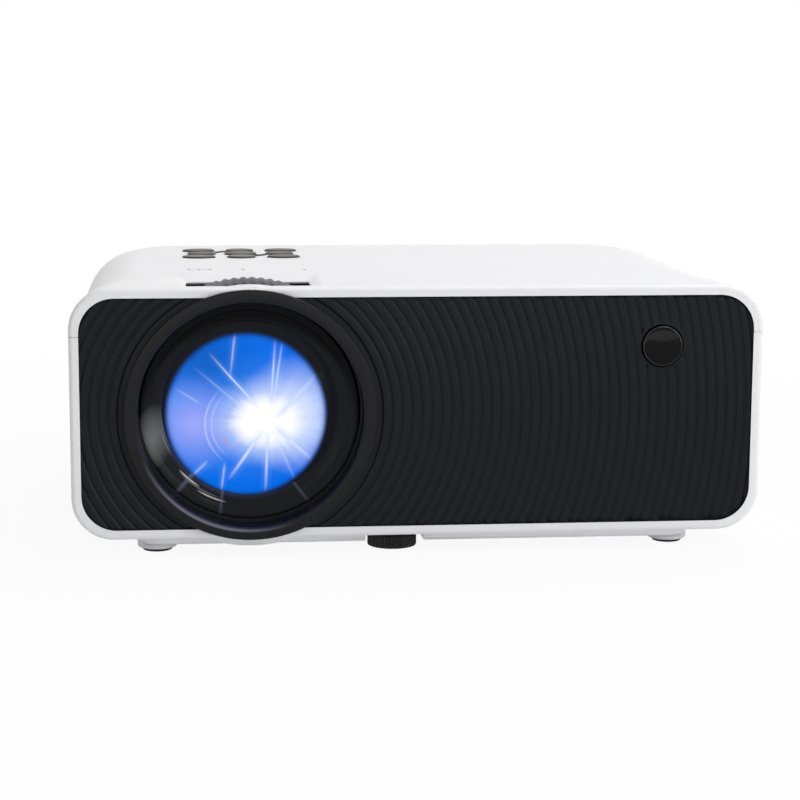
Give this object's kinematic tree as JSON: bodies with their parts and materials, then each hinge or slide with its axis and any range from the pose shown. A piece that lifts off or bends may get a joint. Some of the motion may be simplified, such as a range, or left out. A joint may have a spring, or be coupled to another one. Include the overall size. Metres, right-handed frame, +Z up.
{
  "type": "projector",
  "caption": "Small home projector with a round focusing lens, a grooved front panel, a keypad on top, sockets and a fan grille at the rear, and an adjustable foot.",
  "frame": {"origin": "on the table under the middle of the projector", "axes": "+X to the right seen from the front, +Y from the lens to the rear panel, +Z up"},
  "size_m": [0.2, 0.1466, 0.0788],
  "materials": {
    "white_plastic": "satin",
    "black_plastic": "satin",
    "gloss_window": "gloss",
    "key_plastic": "satin",
    "grey_plastic": "matte",
    "circuit": "satin",
    "flex": "satin",
    "glass": "polished",
    "aluminium": "satin",
    "steel": "satin",
    "brass": "satin",
    "rubber": "matte"
  },
  "bodies": {
    "case": {"top_cover": "white_plastic", "bottom_cover": "white_plastic", "front_panel": "black_plastic", "lens_ring": "black_plastic", "rear_panel": "black_plastic", "lens_sleeve": "black_plastic", "optical_housing": "black_plastic", "rear_fan_frame": "black_plastic", "side_fan_frame": "black_plastic", "av_jack": "black_plastic", "phones_jack": "black_plastic", "mains_inlet": "black_plastic", "ir_window": "gloss_window", "rear_ir_window": "gloss_window", "lcd_panel": "gloss_window", "light_funnel": "grey_plastic", "loudspeaker": "grey_plastic", "ir_board": "circuit", "key_board": "circuit", "main_board": "circuit", "power_board": "circuit", "lcd_ribbon": "flex", "front_fresnel": "glass", "rear_fresnel": "glass", "condenser_lens": "glass", "led_module": "aluminium", "heat_sink": "aluminium", "video_socket": "steel", "data_socket": "steel", "card_socket": "steel", "case_screw_1": "steel", "case_screw_2": "steel", "case_screw_3": "steel", "case_screw_4": "steel", "foot_nut": "brass", "tripod_insert": "brass", "pad_front_left": "rubber", "pad_rear_left": "rubber", "pad_front_right": "rubber", "pad_rear_right": "rubber"},
    "lens_barrel": {"lens_barrel": "black_plastic", "front_glass": "glass", "glass_retainer": "black_plastic", "rear_glass": "glass"},
    "focus_ring": {"focus_ring": "grey_plastic"},
    "foot_stem": {"foot_stem": "steel"},
    "foot_disc": {"foot_disc": "black_plastic"},
    "rear_fan_rotor": {"rear_fan_rotor": "grey_plastic"},
    "side_fan_rotor": {"side_fan_rotor": "grey_plastic"},
    "key_power": {"key_power": "key_plastic"},
    "key_up": {"key_up": "key_plastic"},
    "key_source": {"key_source": "key_plastic"},
    "key_left": {"key_left": "key_plastic"},
    "key_ok": {"key_ok": "key_plastic"},
    "key_right": {"key_right": "key_plastic"},
    "key_back": {"key_back": "key_plastic"},
    "key_down": {"key_down": "key_plastic"},
    "key_menu": {"key_menu": "key_plastic"}
  },
  "joints": [
    {"name": "barrel_slide", "type": "slide", "parent": "case", "child": "lens_barrel", "axis": [0, 1, 0], "range_m": [-0.0024, 0.0024]},
    {"name": "focus_turn", "type": "hinge", "parent": "lens_barrel", "child": "focus_ring", "pos_m": [-0.0488, -0.05485, 0.0416], "axis": [0, 1, 0], "range_deg": [-60, 60]},
    {"name": "foot_slide", "type": "slide", "parent": "case", "child": "foot_stem", "axis": [0, 0, -1], "range_m": [0, 0.01]},
    {"name": "foot_turn", "type": "hinge", "parent": "foot_stem", "child": "foot_disc", "pos_m": [-0.00705, -0.05875, 0.0022], "axis": [0, 0, -1], "range_deg": [0, 1440]},
    {"name": "rear_fan_spin", "type": "hinge", "parent": "case", "child": "rear_fan_rotor", "pos_m": [-0.0488, 0.05995, 0.0416], "axis": [0, 1, 0], "continuous": true},
    {"name": "side_fan_spin", "type": "hinge", "parent": "case", "child": "side_fan_rotor", "pos_m": [0.0926, 0.02525, 0.042], "axis": [1, 0, 0], "continuous": true},
    {"name": "key_power_press", "type": "slide", "parent": "case", "child": "key_power", "axis": [0, 0, -1], "range_m": [0, 0.0005], "stiffness_N_per_m": 1000, "springref_m": -0.0005},
    {"name": "key_up_press", "type": "slide", "parent": "case", "child": "key_up", "axis": [0, 0, -1], "range_m": [0, 0.0005], "stiffness_N_per_m": 1000, "springref_m": -0.0005},
    {"name": "key_source_press", "type": "slide", "parent": "case", "child": "key_source", "axis": [0, 0, -1], "range_m": [0, 0.0005], "stiffness_N_per_m": 1000, "springref_m": -0.0005},
    {"name": "key_left_press", "type": "slide", "parent": "case", "child": "key_left", "axis": [0, 0, -1], "range_m": [0, 0.0005], "stiffness_N_per_m": 1000, "springref_m": -0.0005},
    {"name": "key_ok_press", "type": "slide", "parent": "case", "child": "key_ok", "axis": [0, 0, -1], "range_m": [0, 0.0005], "stiffness_N_per_m": 1000, "springref_m": -0.0005},
    {"name": "key_right_press", "type": "slide", "parent": "case", "child": "key_right", "axis": [0, 0, -1], "range_m": [0, 0.0005], "stiffness_N_per_m": 1000, "springref_m": -0.0005},
    {"name": "key_back_press", "type": "slide", "parent": "case", "child": "key_back", "axis": [0, 0, -1], "range_m": [0, 0.0005], "stiffness_N_per_m": 1000, "springref_m": -0.0005},
    {"name": "key_down_press", "type": "slide", "parent": "case", "child": "key_down", "axis": [0, 0, -1], "range_m": [0, 0.0005], "stiffness_N_per_m": 1000, "springref_m": -0.0005},
    {"name": "key_menu_press", "type": "slide", "parent": "case", "child": "key_menu", "axis": [0, 0, -1], "range_m": [0, 0.0005], "stiffness_N_per_m": 1000, "springref_m": -0.0005}
  ],
  "couplings": [
    {"joint": "focus_turn", "follows": "barrel_slide", "rad_per_m": 436.33},
    {"joint": "foot_turn", "follows": "foot_slide", "rad_per_m": 2513.3}
  ]
}
